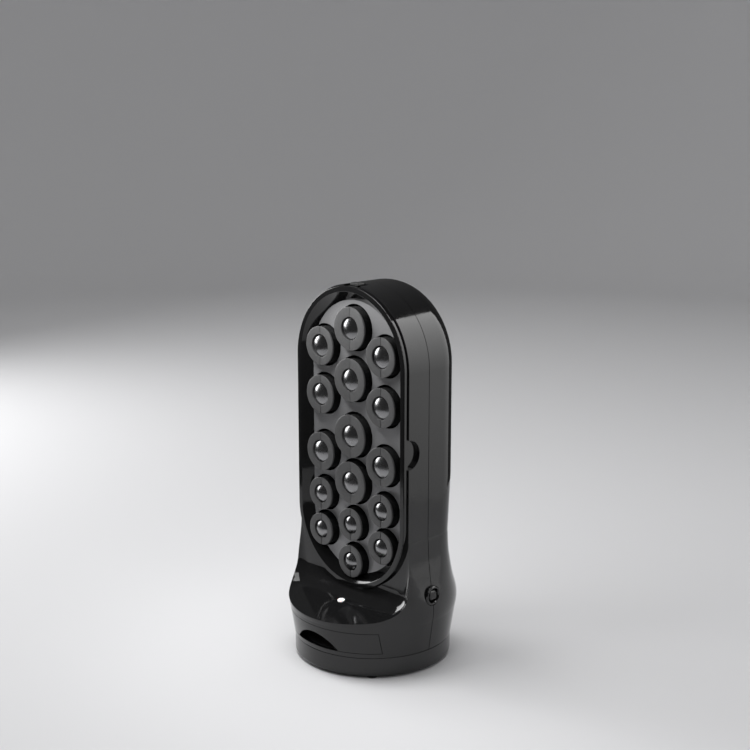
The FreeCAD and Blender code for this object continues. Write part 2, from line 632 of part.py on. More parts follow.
def roller_tray(roller_spaces):
    """Glossy tray: a proud rounded rim, a tapering inner wall and a seat for the deck behind it."""
    rim = stadium_plate("TrayRim", "RimHalfWidth", "-RimFront", "-TowerFront")
    body = stadium_plate("TrayBody", "TrayHalfWidth", "-TowerFront", "-TrayRear")
    mouth = loft("TrayTaper", [stadium("TaperFront", "RimHalfWidth - RimWidth", "-RimFront"),
                               stadium("TaperBack", "DeckWindow", "-DeckFront")], ruled=True)
    seat = stadium_plate("DeckSeat", "DeckHalfWidth + SeatGap", "-DeckFront", f"-TrayRear + {PAST}")
    filled = cut("TrayOpen", fuse("TraySolid", [rim, body]), [mouth, seat])
    rounded = round_edges("TrayRounded", filled, [
        (lambda edge: abs(edge.BoundBox.YMin + value("RimFront")) < 0.01
         and abs(edge.BoundBox.YMax + value("RimFront")) < 0.01, "RimEdge")])
    return cut("RollerTray", rounded, roller_spaces)


def deck_plate(roller_spaces):
    """Grey plate behind the tray, with a clearance hole for every roller and a hole for every fixing."""
    plate = stadium_plate("DeckBlank", "DeckHalfWidth", "-DeckFront", "-DeckFront + DeckThickness")
    return cut("DeckPlate", plate, roller_spaces)


def stations():
    """Column, number, name, kind, position across and height expression of every roller."""
    for column, side in (("left", -1), ("middle", 0), ("right", 1)):
        key = "middle" if side == 0 else "side"
        for number, kind in enumerate(KINDS[key]):
            height = key.capitalize() + "Row" + "ABCDEF"[number]
            across = "0" if side == 0 else ("RollerColumn" if side > 0 else "-RollerColumn")
            yield f"{column}_{number + 1}", kind, across, height


def roller_space(name, kind, across, height):
    """The clearance for one roller through tray and deck."""
    return cylinder("Space_" + name, f"{kind}Radius + DeckHoleGap", "2 * RimFront", across, "-2 * RimFront",
                    height, along="y")


def end_rings(name, kind, across, height):
    """Front and rear end ring of one roller, the front one split by two thin lines in its face."""
    bore = BORES[kind]
    radius = f"{kind}Radius"
    rings = []
    ends = (("Front", "-RollerFront"), ("Rear", "RollerLength - RollerFront - RingThickness"))
    for end, start in ends:
        blank = cylinder(f"{end}Ring_{name}", radius, "RingThickness", across, start, height, along="y")
        tools = [cylinder(f"{end}RingBore_{name}", bore, "2 * RingThickness", across, f"({start}) - {PAST}",
                          height, along="y")]
        if end == "Front":
            x = (f"{across} - SlotWidth / 2", f"{across} + SlotWidth / 2")
            for half, z in (("Top", (height, f"{height} + 2 * {radius}")),
                            ("Bottom", (f"{height} - 2 * {radius}", height))):
                y = (f"-RollerFront - {PAST}", "-RollerFront + SlotDepth")
                tools.append(box(f"{half}Line_{name}", x, y, z))
        rings.append(cut(f"{end}End_{name}", blank, tools))
    return group("Rings_" + name, rings)


def barrel(name, kind, across, height):
    """Flocked tube between the two end rings of one roller."""
    length = "RollerLength - 2 * RingThickness"
    start = "-RollerFront + RingThickness"
    tube = cylinder("Tube_" + name, f"{kind}Radius - RingProud", length, across, start, height, along="y")
    hollow = cylinder("TubeBore_" + name, BORES[kind], f"{length} + 2 * {PAST}", across,
                      f"{start} - {PAST}", height, along="y")
    return cut("Barrel_" + name, tube, [hollow])


def post(name, kind, across, height):
    """Aluminium post on the heater plate, inside one roller."""
    radius = f"{BORES[kind]} - PostGap"
    start = "-RollerFront + CapRecess + CapDepth"
    return cylinder("Post_" + name, radius, f"HeaterFront - ({start})", across, start, height, along="y")


def cap(name, kind, across, height):
    """Domed cap on the end of one post."""
    radius = f"{BORES[kind]} - PostGap"
    edge = "-RollerFront + CapRecess"
    disc = cylinder("CapDisc_" + name, radius, "CapDepth", across, edge, height, along="y")
    sphere = DOC.addObject("Part::Sphere", "CapSphere_" + name)
    bulge = f"(({radius})^2 + CapHeight^2) / (2 * CapHeight)"
    bind(sphere, Radius=bulge)
    place(sphere, across, f"{edge} - CapHeight + {bulge}", height)
    front = box("CapFront_" + name, (f"{across} - 2 * {radius}", f"{across} + 2 * {radius}"),
                (f"{edge} - 2 * CapHeight", edge), (f"{height} - 2 * {radius}", f"{height} + 2 * {radius}"))
    return fuse("Cap_" + name, [disc, common("CapDome_" + name, sphere, front)])


def screws(name, places, head_at):
    """Screws with the head at the back or below: each place is the underside of a head, and a length."""
    made = []
    for number, (x, y, z, length) in enumerate(places):
        if head_at == "back":
            head = cylinder(f"{name}Head{number}", "HeadRadius", "HeadHeight", x, y, z, "y")
            shank = cylinder(f"{name}Shank{number}", "ScrewRadius", length, x, f"({y}) - ({length})", z, "y")
        else:
            head = cylinder(f"{name}Head{number}", "HeadRadius", "HeadHeight", x, y, f"({z}) - HeadHeight")
            shank = cylinder(f"{name}Shank{number}", "ScrewRadius", length, x, y, z)
        made.append(fuse(f"{name}{number}", [head, shank]))
    return group(name, made)


def heater_stack():
    """Heater plate, flat element, heat shield, thermostat, fuse, pillars and their screws."""
    front = "HeaterFront"
    rear = "HeaterFront + HeaterThickness"
    tab = box("HeaterTab", ("-TabHalfWidth", "TabHalfWidth"), (front, rear),
              ("TabBottom", "TrayLow - HeaterHalfWidth / 2"))
    plate = fuse("HeaterSolid", [stadium_plate("HeaterBlank", "HeaterHalfWidth", front, rear), tab])
    shank = "ScrewRadius + ScrewGap"
    part("heater_plate", cut("HeaterPlate", plate,
                             fixings("HeaterHole", shank, f"{front} - {PAST}", f"{rear} + {PAST}")))
    element = f"{rear} + ElementThickness"
    part("heating_element", cut("HeatingElement",
                                stadium_plate("ElementBlank", "HeaterHalfWidth - ElementInset", rear, element),
                                fixings("ElementHole", "PillarRadius + ElementGap", f"{rear} - {PAST}",
                                        f"{element} + {PAST}")))
    shield = f"{element} + ShieldGap"
    spacer = fixings("Spacer", "PillarRadius", rear, shield)
    shield_plate = stadium_plate("ShieldBlank", "HeaterHalfWidth", shield, f"{shield} + ShieldThickness")
    part("heat_shield", cut("HeatShield", shield_plate,
                            fixings("ShieldHole", shank, f"{shield} - {PAST}", f"{shield} + 2 * {PAST}")))
    part("shield_spacers", group("ShieldSpacers", [
        cut(f"SpacerRing{number}", ring, [hole]) for number, (ring, hole) in enumerate(
            zip(spacer, fixings("SpacerHole", shank, f"{rear} - {PAST}", f"{shield} + {PAST}")))]))
    deck_back = "-DeckFront + DeckThickness"
    pillars = fixings("PillarRod", "PillarRadius", deck_back, front)
    bores = fixings("PillarBore", shank, f"{front} - PillarBore", f"{front} + {PAST}")
    part("deck_pillars", group("DeckPillars", [cut(f"Pillar{number}", rod, [bore])
                                               for number, (rod, bore) in enumerate(zip(pillars, bores))]))
    seat = f"{shield} + ShieldThickness + BossWall"
    length = f"{seat} - ({front}) + PillarBore - {PAST}"
    places = [(str(x), seat, str(z), length) for x, z in STACK_FIXINGS]
    part("stack_screws", screws("StackScrews", places, "back"))
    part("thermostat", cylinder("Thermostat", "ThermostatRadius", "ThermostatLength", "0",
                                f"{front} - ThermostatLength", "ThermostatHeight", along="y"))
    part("thermal_fuse", cylinder("ThermalFuse", "FuseRadius", "FuseLength", "-FuseLength / 2",
                                  f"{rear} + FuseRadius", "ThermostatHeight", along="x"))


def base_ring():
    """Round base with an inward flange below, a ledge for the shelf and a spigot into the housing."""
    body = DOC.addObject("PartDesign::Body", "BaseRing")
    plane = [feature for feature in body.Origin.OriginFeatures if feature.Role == "XZ_Plane"][0]
    inner_wall = "BaseRadius - BaseWall"
    flange = "BaseRadius - BaseFlange"
    spigot = "BaseRadius - Wall - SpigotGap"
    ledge = f"{spigot} - 2 * LedgeWidth"
    shelf = "DrawerBottom - DrawerGap - RunnerHeight - ShelfThickness"
    corners = [("BaseRadius", "FootHeight"), ("BaseRadius", "BaseTop"), (spigot, "BaseTop"),
               (spigot, "BaseTop + SpigotHeight"), (f"{spigot} - LedgeWidth", "BaseTop + SpigotHeight"),
               (f"{spigot} - LedgeWidth", shelf), (ledge, shelf), (ledge, f"{shelf} - BaseWall"),
               (inner_wall, f"{shelf} - 3 * BaseWall"), (inner_wall, "FootHeight + BaseFloor"),
               (flange, "FootHeight + BaseFloor"), (flange, "FootHeight")]
    profile = outline("BaseProfile", corners, owner=body)
    profile.AttachmentSupport = [(plane, "")]
    profile.MapMode = "FlatFace"
    turned = body.newObject("PartDesign::Revolution", "BaseTurned")
    turned.Profile = profile
    turned.ReferenceAxis = (profile, ["V_Axis"])
    turned.Angle = 360
    DOC.recompute()
    rim = [f"Edge{number}" for number, edge in enumerate(turned.Shape.Edges, start=1)
           if abs(edge.BoundBox.ZMax - value("FootHeight")) < 0.01
           and abs(edge.BoundBox.XMax - value("BaseRadius")) < 0.01]
    rounded = body.newObject("PartDesign::Fillet", "BaseRounded")
    rounded.Base = (turned, rim)
    bind(rounded, Radius="min(BaseEdge; BaseWall)")
    body.Tip = rounded
    return body


def round_plate(name, radius, low, high, holes):
    """A disc between two heights, padded from a circle, with a ring of holes."""
    body = DOC.addObject("PartDesign::Body", name)
    plane = [feature for feature in body.Origin.OriginFeatures if feature.Role == "XY_Plane"][0]
    disc = body.newObject("Sketcher::SketchObject", name + "Outline")
    disc.AttachmentSupport = [(plane, "")]
    disc.MapMode = "FlatFace"
    disc.setExpression("AttachmentOffset.Base.z", bound(low))
    disc.addGeometry(Part.Circle(Vector(), Vector(0, 0, 1), value(radius)))
    disc.addConstraint(Sketcher.Constraint("Coincident", 0, 3, -1, 1))
    dimension(disc, Sketcher.Constraint("Radius", 0, value(radius)), radius)
    for number, (x, y, hole_radius) in enumerate(holes, start=1):
        disc.addGeometry(Part.Circle(Vector(value(x), value(y), 0), Vector(0, 0, 1), value(hole_radius)))
        pin(disc, number, 3, x, y)
        dimension(disc, Sketcher.Constraint("Radius", number, value(hole_radius)), hole_radius)
    pad = body.newObject("PartDesign::Pad", name + "Pad")
    pad.Profile = disc
    bind(pad, Length=f"({high}) - ({low})")
    body.Tip = pad
    return body


def around(radius, count=4, turn=45):
    """Positions on a circle, as pairs of expressions."""
    angles = [turn + 360 / count * number for number in range(count)]
    return [(f"({radius}) * cos({angle})", f"({radius}) * sin({angle})") for angle in angles]


def base():
    """Base ring, bottom cover, rubber feet and base screws."""
    part("base_ring", base_ring())
    cover_low = "FootHeight + BaseFloor"
    cover_high = f"{cover_low} + BaseFloor"
    middle = "BaseRadius - BaseFlange / 2"
    holes = [(x, y, "ScrewRadius + ScrewGap") for x, y in around("CoverScrewCircle")]
    cover_radius = "BaseRadius - BaseWall - CoverGap"
    part("bottom_cover", round_plate("BottomCover", cover_radius, cover_low, cover_high, holes))
    feet = [cylinder(f"Foot{number}", "PadRadius", "FootHeight", x, y)
            for number, (x, y) in enumerate(around(middle))]
    part("rubber_feet", group("RubberFeet", feet))
    places = [(x, y, cover_low, "BaseFloor + CoverScrewGrip") for x, y in around("CoverScrewCircle")]
    part("cover_screws", screws("CoverScrews", places, "below"))


def drawer_shelf():
    """Shelf under the drawer with two runners, two side guides and the sleeves for the cover screws."""
    top = "DrawerBottom - DrawerGap - RunnerHeight"
    low = f"{top} - ShelfThickness"
    spigot = "BaseRadius - Wall - SpigotGap"
    disc = cylinder("ShelfDisc", f"{spigot} - LedgeWidth - ShelfGap", "ShelfThickness", z=low)
    pieces = [disc]
    outside = "TubHalfWidth + DrawerGap"
    upright = (f"{top} - {JOIN}", "TubTop - GuideDrop")
    for side, name in ((1, "Right"), (-1, "Left")):
        def across(near, far):
            return (near, far) if side > 0 else (f"-({far})", f"-({near})")
        edge = "TubHalfWidth - RunnerInset"
        pieces.append(box("Runner" + name, across(f"{edge} - RunnerWidth", edge),
                          ("-ShelfReach", "ShelfReach"), (f"{top} - {JOIN}", f"{top} + RunnerHeight")))
        pieces.append(box("Guide" + name, across(outside, f"{outside} + TubWall"),
                          ("-ShelfReach + GuideInset", "ShelfReach - GuideInset"), upright))
    pieces.append(box("Stop", ("-TubHalfWidth + StopInset", "TubHalfWidth - StopInset"),
                      ("TubBack + DrawerGap", "TubBack + DrawerGap + TubWall"), upright))
    foot = "FootHeight + 2 * BaseFloor"
    sleeves = [cylinder(f"Sleeve{number}", "ScrewRadius + BossWall", f"{low} + {JOIN} - ({foot})", x, y, foot)
               for number, (x, y) in enumerate(around("CoverScrewCircle"))]
    holes = [cylinder(f"SleeveHole{number}", "ScrewRadius + ScrewGap", f"CoverScrewGrip + 2 * {PAST}", x, y,
                      f"{foot} - {PAST}") for number, (x, y) in enumerate(around("CoverScrewCircle"))]
    return cut("DrawerShelf", fuse("ShelfSolid", pieces + sleeves), holes)


def drawer(skin, space):
    """Drawer: a front panel that follows the housing, a tub behind it, and an arch for the fingers."""
    panel_box = box("PanelSpace", ("-DrawerHalfWidth", "DrawerHalfWidth"), (f"-{FAR}", "-TowerFront - 2"),
                    ("DrawerBottom", "DrawerTop"))
    panel = common("DrawerPanel", cut("DrawerSkin", skin, [space]), panel_box)
    tub_box = box("TubSpace", ("-TubHalfWidth", "TubHalfWidth"), (f"-{FAR}", "TubBack"),
                  ("DrawerBottom", "TubTop"))
    tub = common("TubBlock", skin, tub_box)
    hollow = box("TubHollow", ("-TubHalfWidth + TubWall", "TubHalfWidth - TubWall"),
                 ("-TubFront", "TubBack - TubWall"), ("DrawerBottom + TubWall", "DrawerTop + TubWall"))
    radius = "(ArchHalfWidth^2 + ArchRise^2) / (2 * ArchRise)"
    finger = cylinder("FingerArch", radius, f"{FAR} - TubFront - TubWall", "0", f"-{FAR}",
                      f"DrawerBottom + ArchRise - {radius}", along="y")
    return cut("Drawer", fuse("DrawerSolid", [panel, tub]), [hollow, finger])


def rocker_space(name):
    """The room in bezel and body that the rocker turns in."""
    half = "RockerHalfWidth + RockerGap"
    return cylinder(name, "RockerRadius + RockerGap", f"2 * ({half})", "SwitchFace - RockerPivot",
                    f"-({half})", "SwitchHeight", along="y")


def switch():
    """Round bezel, body and rocker of the power switch on the seam of the right side."""
    ring = cylinder("BezelDisc", "SwitchRadius", "SwitchFace - SwitchSeat", "SwitchSeat", "0", "SwitchHeight",
                    along="x")
    bezel = round_edges("BezelRounded", ring, [
        (lambda edge: edge.BoundBox.XMin > value("SwitchFace") - 0.01, "SwitchEdge")])
    part("switch_bezel", cut("SwitchBezel", bezel, [rocker_space("BezelSpace")]))
    case = cylinder("SwitchCase", "SwitchRadius - SwitchFlange", "SwitchDepth", "SwitchSeat - SwitchDepth",
                    "0", "SwitchHeight", along="x")
    part("switch_body", cut("SwitchBody", case, [rocker_space("CaseSpace")]))
    pivot = "SwitchFace - RockerPivot"
    wheel = cylinder("RockerWheel", "RockerRadius", "2 * RockerHalfWidth", pivot, "-RockerHalfWidth",
                     "SwitchHeight", along="y")
    facet = box("RockerFacet", ("0", "RockerRadius"), ("-RockerRadius", "RockerRadius"),
                ("0", "4 * RockerRadius"))
    place(facet, f"{pivot} + RockerFace * cos(RockerTilt) + 2 * RockerRadius * sin(RockerTilt)",
          "-RockerRadius", "SwitchHeight + RockerFace * sin(RockerTilt) - 2 * RockerRadius * cos(RockerTilt)",
          Rotation(Vector(0, 1, 0), -value("RockerTilt")))
    part("switch_rocker", cut("SwitchRocker", wheel, [facet]))


def latch_button():
    """Push button of the lid latch in its recess at the top, with its stem."""
    top = "ArchHeight + TowerHalfWidth"
    low = f"{top} - LatchDepth + LatchTravel + LatchGap"
    head = box("LatchHead", ("-LatchButton", "LatchButton"), ("-LatchMiddle - LatchLength / 2",
               "-LatchMiddle + LatchLength / 2"), (low, f"{top} + LatchProud"))
    rounded = round_edges("LatchRounded", head, [
        (lambda edge: edge.BoundBox.ZMax > value(f"{top} + LatchProud") - 0.01, "LatchEdge")])
    foot = "ArchHeight + TrayHalfWidth + LatchTravel + LatchGap"
    stem = cylinder("LatchStem", "LatchStemRadius", f"{low} + {JOIN} - ({foot})", y="-LatchMiddle", z=foot)
    return fuse("LatchButtonSolid", [rounded, stem])


def pilot_lamp():
    """Round lens in the floor of the bowl and the small lamp inside it."""
    floor = "BowlLip + BowlRise * (BowlReach - LampForward)"
    low = f"{floor} - Wall - LensBelow"
    shell = cylinder("LensOutside", "LampRadius", f"{floor} + LensProud - ({low})", y="-LampForward", z=low)
    rounded = round_edges("LensRounded", shell, [
        (lambda edge: edge.BoundBox.ZMin > value(f"{floor} + LensProud") - 0.01, "LensEdge")])
    hollow = cylinder("LensInside", "LampRadius - LensWall", f"{floor} - ({low})", y="-LampForward",
                      z=f"{low} - LensWall")
    part("pilot_lens", cut("PilotLens", rounded, [hollow]))
    part("pilot_lamp", cylinder("PilotLamp", "LampRadius - LensWall - LampGap",
                                f"{floor} - LensBelow - ({low})", y="-LampForward", z=low))


def cord_inlet():
    """Sleeve for the mains cord, low in the rear shell, pointing outwards half way to the right."""
    start = "BaseRadius - InletLength"
    tube = cylinder("InletTube", "InletRadius", "InletLength", z="InletHeight")
    place(tube, f"({start}) * cos(45)", f"({start}) * sin(45)", "InletHeight", OUTWARD)
    bore = cylinder("InletHollow", "InletBore", f"{FAR}", z="InletHeight")
    place(bore, "0", "0", "InletHeight", OUTWARD)
    return cut("CordInlet", tube, [bore])


def terminal_block():
    """Small block on the shelf behind the drawer, where the cord ends."""
    top = "DrawerBottom - DrawerGap - RunnerHeight"
    return box("TerminalBlock", ("-BlockHalfWidth", "BlockHalfWidth"),
               ("BlockFront", "BlockFront + BlockDepth"), (top, f"{top} + BlockDepth"))


def build():
    """Make every sub-part."""
    fill_sheet()
    skin = cut("Skin", form("Outer"), [bowl_tool("Bowl")])
    space = cut("Space", form("Inner", "Wall"), [bowl_tool("BowlBack", "Wall")])
    shell = cut("Shell", skin, [space])
    groove = seam_groove(form("GrooveForm", "SeamDepth"))
    seat = cylinder("SwitchHole", "SwitchRadius + SwitchGap", f"{FAR}", "SwitchSeat", "0", "SwitchHeight",
                    along="x")
    case = cylinder("SwitchCaseHole", "SwitchRadius - SwitchFlange + SwitchGap", f"{FAR}",
                    f"SwitchSeat - SwitchDepth - {PAST}", "0", "SwitchHeight", along="x")
    bare = cut("BareShell", shell, [groove, seat, case])
    part("front_housing", front_housing(bare))
    part("rear_housing", rear_housing(bare))
    spaces = [roller_space(*station) for station in stations()]
    part("roller_tray", roller_tray(spaces))
    part("deck_plate", deck_plate(spaces))
    heater_stack()
    part("heating_posts", group("HeatingPosts", [post(*station) for station in stations()]))
    part("post_caps", group("PostCaps", [cap(*station) for station in stations()]))
    for station in stations():
        part("roller_barrel_" + station[0], barrel(*station))
        part("roller_rings_" + station[0], end_rings(*station))
    base()
    part("drawer_shelf", drawer_shelf())
    part("drawer", drawer(skin, space))
    switch()
    part("latch_button", latch_button())
    pilot_lamp()
    part("cord_inlet", cord_inlet())
    part("terminal_block", terminal_block())


def save():
    """Check the document and every sub-part, then write one file for each."""
    DOC.recompute()
    for thing in DOC.Objects:
        if "Invalid" in thing.State or "Error" in thing.State:
            raise RuntimeError(f"{thing.Name} failed: {thing.State}")
    os.makedirs("parts", exist_ok=True)
    for thing in PARTS:
        shape = thing.Shape
        if shape.isNull() or not shape.isValid() or shape.Volume <= 0:
            raise RuntimeError(f"{thing.Label} has no valid shape")
        shape.exportStep(os.path.join("parts", thing.Label + ".step"))
        print(f"{thing.Label:28s} {len(shape.Solids):3d} {shape.Volume:12.1f}")


build()
save()
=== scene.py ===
"""Looks of a standing heater for hair rollers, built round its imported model.  Units are metres."""
import json
from math import atan2, cos, hypot, pi, radians, sin, sqrt, tan

import bmesh
import bpy
from mathutils import Matrix, Vector, noise


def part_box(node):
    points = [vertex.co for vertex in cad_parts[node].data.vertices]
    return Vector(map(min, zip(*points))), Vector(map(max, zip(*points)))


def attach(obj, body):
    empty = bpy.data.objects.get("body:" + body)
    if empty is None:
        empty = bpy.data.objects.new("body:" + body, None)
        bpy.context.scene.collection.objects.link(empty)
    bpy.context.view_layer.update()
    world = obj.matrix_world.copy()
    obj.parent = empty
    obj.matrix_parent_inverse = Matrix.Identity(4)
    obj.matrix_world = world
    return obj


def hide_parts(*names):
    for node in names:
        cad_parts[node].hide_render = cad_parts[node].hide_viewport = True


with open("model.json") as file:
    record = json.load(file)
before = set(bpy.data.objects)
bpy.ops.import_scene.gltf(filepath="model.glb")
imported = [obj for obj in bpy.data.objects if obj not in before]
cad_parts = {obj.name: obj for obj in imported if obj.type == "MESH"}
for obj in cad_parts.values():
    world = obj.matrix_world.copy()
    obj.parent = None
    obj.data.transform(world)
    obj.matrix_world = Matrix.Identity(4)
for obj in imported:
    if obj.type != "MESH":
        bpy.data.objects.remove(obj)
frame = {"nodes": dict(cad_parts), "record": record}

bpy.context.view_layer.update()
NODES = frame["nodes"]

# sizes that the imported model's boxes don't give
MM = 0.001
WIDE_BORE = 10.15 * MM           # bore of the jumbo and large rollers
NARROW_BORE = 8.4 * MM           # bore of the medium rollers
MEDIUM_LIMIT = 16 * MM           # rollers with a smaller radius have the narrow bore
POST_GAP = 0.4 * MM              # cap to bore
CAP_RISE = 3.6 * MM              # height of a dome
CAP_SKIRT = 3.0 * MM             # straight part below a dome
RING_DEPTH = 3.2 * MM            # thickness of an end ring
RING_PROUD = 0.35 * MM           # ring outside the flock
RIM_DEPTH = 1.9 * MM             # how much of a front ring shows in front of the flock
RING_ROUND = 0.7 * MM            # rounding of an end ring's outer edge
BORE_ROUND = 0.45 * MM           # rounding of a front ring's bore
SPLIT = 0.8 * MM                 # width of the split between the two halves of a ring
SPLIT_DEPTH = 1.4 * MM           # depth of that split
VALLEY = 0.75 * sin(radians(5))  # slope of each half's face, down towards the split
HALVES_PROUD = 0.15 * MM         # the two halves outside the whole ring that carries them
RING_STEP = 1.2 * MM             # how far the front ring steps in behind its rim
LAP = 0.02 * MM                  # how far two parts of one piece reach into each other
GROOVE_MOUTH = 1.2 * MM          # half the width of the rear ring's groove
GROOVE_FLOOR = 0.8 * MM          # half the width of the groove's floor
GROOVE_DEPTH = 0.5 * MM
FLOCK_WRAP = 1.15 * MM           # how far the flock reaches in at the front ring's step
FLOCK_ROWS = 46                  # rows of the mesh along a barrel
PILE_SINK = 0.12 * MM            # mean surface of the pile below the barrel's outline
PILE_RELIEF = 0.14 * MM          # how much the pile rises and falls
PILE_TUFTS = 900                 # tufts of pile per metre, roughly
PILE_EDGE = 0.1 * MM             # strip beside a ring where the pile stays even
CAP_LIP = 0.25 * MM              # width of the step at the foot of a dome
CAP_STEP = 0.12 * MM             # depth of that step
CAP_BEVEL = 0.08 * MM            # width of the bevel outside the step
CAP_BEVEL_START = 0.02 * MM      # where the bevel starts and ends, behind the dome's edge
CAP_BEVEL_END = 0.14 * MM
DOME_STEPS = 14
SWITCH_GAP = 0.35 * MM           # rocker to switch ring
SWITCH_DISH = 1.3 * MM           # depth of the ring at its opening
SWITCH_REAR = (0.05 * MM, 0.1 * MM)      # how far the ring's rear edge is inset, and its rounding
# outline of the switch ring from its edge inwards: distance inside the edge, depth and rounding
SWITCH_LIP = ((0.0, 0.9 * MM, 0.5 * MM), (0.9 * MM, 0.0, 0.4 * MM), (1.9 * MM, 0.0, 0.3 * MM),
              (2.3 * MM, 0.7 * MM, 0.2 * MM))
SWITCH_ROUND = 0.2 * MM          # rounding of the opening
ROCKER_TILT = radians(-7)        # lean of the rocker's face at rest
ROCKER_SINK = 0.35 * MM          # pad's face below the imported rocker's crest
ROCKER_HEIGHT = 0.97             # pad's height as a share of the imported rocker's
ROCKER_EDGE = 0.84               # share of the pad where its soft edge starts
ROCKER_FALL = 0.9 * MM           # how far the soft edge falls
ROCKER_BACK = 2 * MM             # pad's flat back behind the rocker's axis
ROCKER_SEGMENTS = 48
FOOT_RADIUS = 5.0 * MM
FOOT_BEVEL = 0.2 * MM            # bevel at the top of a foot
FOOT_ROUND = 0.35 * MM           # rounding of its lower edge
FOOT_GROOVE = 0.3 * MM           # depth of the groove underneath


# ---------------------------------------------------------------------------------------------
# Materials
# ---------------------------------------------------------------------------------------------
class Paint:
    """A material made of nodes round one principled shader."""

    def __init__(self, name, color, roughness, metallic=0.0, specular=0.5, **sockets):
        self.material = bpy.data.materials.new(name)
        self.material.use_nodes = True
        self.nodes = self.material.node_tree.nodes
        self.links = self.material.node_tree.links
        self.shader = self.nodes["Principled BSDF"]
        values = {"Base Color": (*color, 1.0), "Roughness": roughness, "Metallic": metallic,
                  "Specular IOR Level": specular}
        values.update({key.replace("_", " "): value for key, value in sockets.items()})
        for key, value in values.items():
            self.shader.inputs[key].default_value = value
        self.place = self.nodes.new("ShaderNodeTexCoord").outputs["Object"]

    def stretched(self, x, y, z):
        """Object coordinates multiplied along each axis."""
        mapping = self.nodes.new("ShaderNodeMapping")
        mapping.inputs["Scale"].default_value = (x, y, z)
        self.links.new(self.place, mapping.inputs["Vector"])
        return mapping.outputs["Vector"]

    def cloud(self, scale, detail=4.0, rough=0.5, at=None):
        """Fractal noise, with scale in features per metre."""
        texture = self.nodes.new("ShaderNodeTexNoise")
        texture.inputs["Scale"].default_value = scale
        texture.inputs["Detail"].default_value = detail
        texture.inputs["Roughness"].default_value = rough
        self.links.new(at or self.place, texture.inputs["Vector"])
        return texture.outputs["Fac"]

    def grains(self, scale):
        """Small cells, for grit or pile."""
        texture = self.nodes.new("ShaderNodeTexVoronoi")
        texture.inputs["Scale"].default_value = scale
        self.links.new(self.place, texture.inputs["Vector"])
        return texture.outputs["Distance"]

    def ramp(self, source, low, high, start, end):
        """A number from low to high as the source goes from start to end."""
        node = self.nodes.new("ShaderNodeMapRange")
        for key, value in (("From Min", start), ("From Max", end), ("To Min", low), ("To Max", high)):
            node.inputs[key].default_value = value
        self.links.new(source, node.inputs["Value"])
        return node.outputs["Result"]

    def tint(self, source, first, second, start=0.3, end=0.7):
        """Colour between two tints, driven by the source."""
        node = self.nodes.new("ShaderNodeValToRGB")
        node.color_ramp.elements[0].position = start
        node.color_ramp.elements[1].position = end
        node.color_ramp.elements[0].color = (*first, 1.0)
        node.color_ramp.elements[1].color = (*second, 1.0)
        self.links.new(source, node.inputs["Fac"])
        self.links.new(node.outputs["Color"], self.shader.inputs["Base Color"])

    def rough(self, source, low, high, start=0.35, end=0.65):
        """Roughness that varies with the source."""
        self.links.new(self.ramp(source, low, high, start, end), self.shader.inputs["Roughness"])

    def bump(self, *layers):
        """Stacked bump layers, each a source, a height in metres and a strength."""
        normal = None
        for source, height, strength in layers:
            node = self.nodes.new("ShaderNodeBump")
            node.inputs["Distance"].default_value = height
            node.inputs["Strength"].default_value = strength
            self.links.new(source, node.inputs["Height"])
            if normal is not None:
                self.links.new(normal, node.inputs["Normal"])
            normal = node.outputs["Normal"]
        self.links.new(normal, self.shader.inputs["Normal"])


def gloss_black(name, base, low, high, ripple):
    """Polished black moulding: faint flow ripple, and a film of handling marks that dulls it in places."""
    paint = Paint(name, (base, base, base * 1.04), low)
    paint.rough(paint.cloud(45, 6, 0.62), low, high, 0.42, 0.72)
    paint.bump((paint.cloud(140, 2), 0.0004, ripple), (paint.cloud(2600, 3), 0.00002, 0.08))
    return paint.material


def satin_plastic(name, first, second, low, high):
    """Moulded plastic with a fine spark-eroded texture."""
    paint = Paint(name, first, low)
    paint.tint(paint.cloud(320, 5, 0.6), first, second)
    paint.rough(paint.cloud(90, 4), low, high)
    paint.bump((paint.grains(1500), 0.00006, 0.35), (paint.cloud(60, 2), 0.0004, 0.05))
    return paint.material


def deck_paint():
    """Satin metallic paint on sheet: flakes and a slight orange peel."""
    paint = Paint("deck_paint", (0.26, 0.26, 0.265), 0.36, metallic=0.55)
    paint.tint(paint.grains(3200), (0.2, 0.2, 0.205), (0.29, 0.29, 0.295), 0.1, 0.8)
    paint.rough(paint.cloud(120, 5), 0.32, 0.44)
    paint.bump((paint.cloud(900, 3), 0.00004, 0.25))
    return paint.material


def ring_plastic():
    """Grey plastic of the end rings, a little mottled, with a fine grain."""
    paint = Paint("ring_plastic", (0.053, 0.053, 0.053), 0.4, specular=0.65)
    paint.tint(paint.cloud(500, 6, 0.65), (0.044, 0.044, 0.045), (0.062, 0.062, 0.062))
    paint.rough(paint.cloud(160, 4), 0.33, 0.45)
    paint.bump((paint.grains(2600), 0.00004, 0.3), (paint.cloud(200, 2), 0.0002, 0.08))
    return paint.material


def flock():
    """Black velour: short pile with a soft sheen."""
    paint = Paint("flock", (0.004, 0.004, 0.0042), 0.95, specular=0.08, Sheen_Weight=0.04,
                  Sheen_Roughness=0.45)
    paint.tint(paint.cloud(900, 6, 0.7), (0.002, 0.002, 0.0022), (0.006, 0.006, 0.0062))
    paint.rough(paint.cloud(300, 3), 0.85, 1.0)
    paint.bump((paint.grains(3800), 0.00025, 0.9), (paint.cloud(420, 4, 0.7), 0.0004, 0.4))
    return paint.material


def dark_metal():
    """Polished dark nickel of the post caps."""
    paint = Paint("dark_nickel", (0.25, 0.25, 0.255), 0.25, metallic=1.0)
    paint.tint(paint.cloud(70, 4), (0.235, 0.235, 0.24), (0.265, 0.265, 0.27))
    paint.rough(paint.cloud(160, 4), 0.23, 0.28)
    paint.bump((paint.cloud(1800, 2), 0.000002, 0.1))
    return paint.material


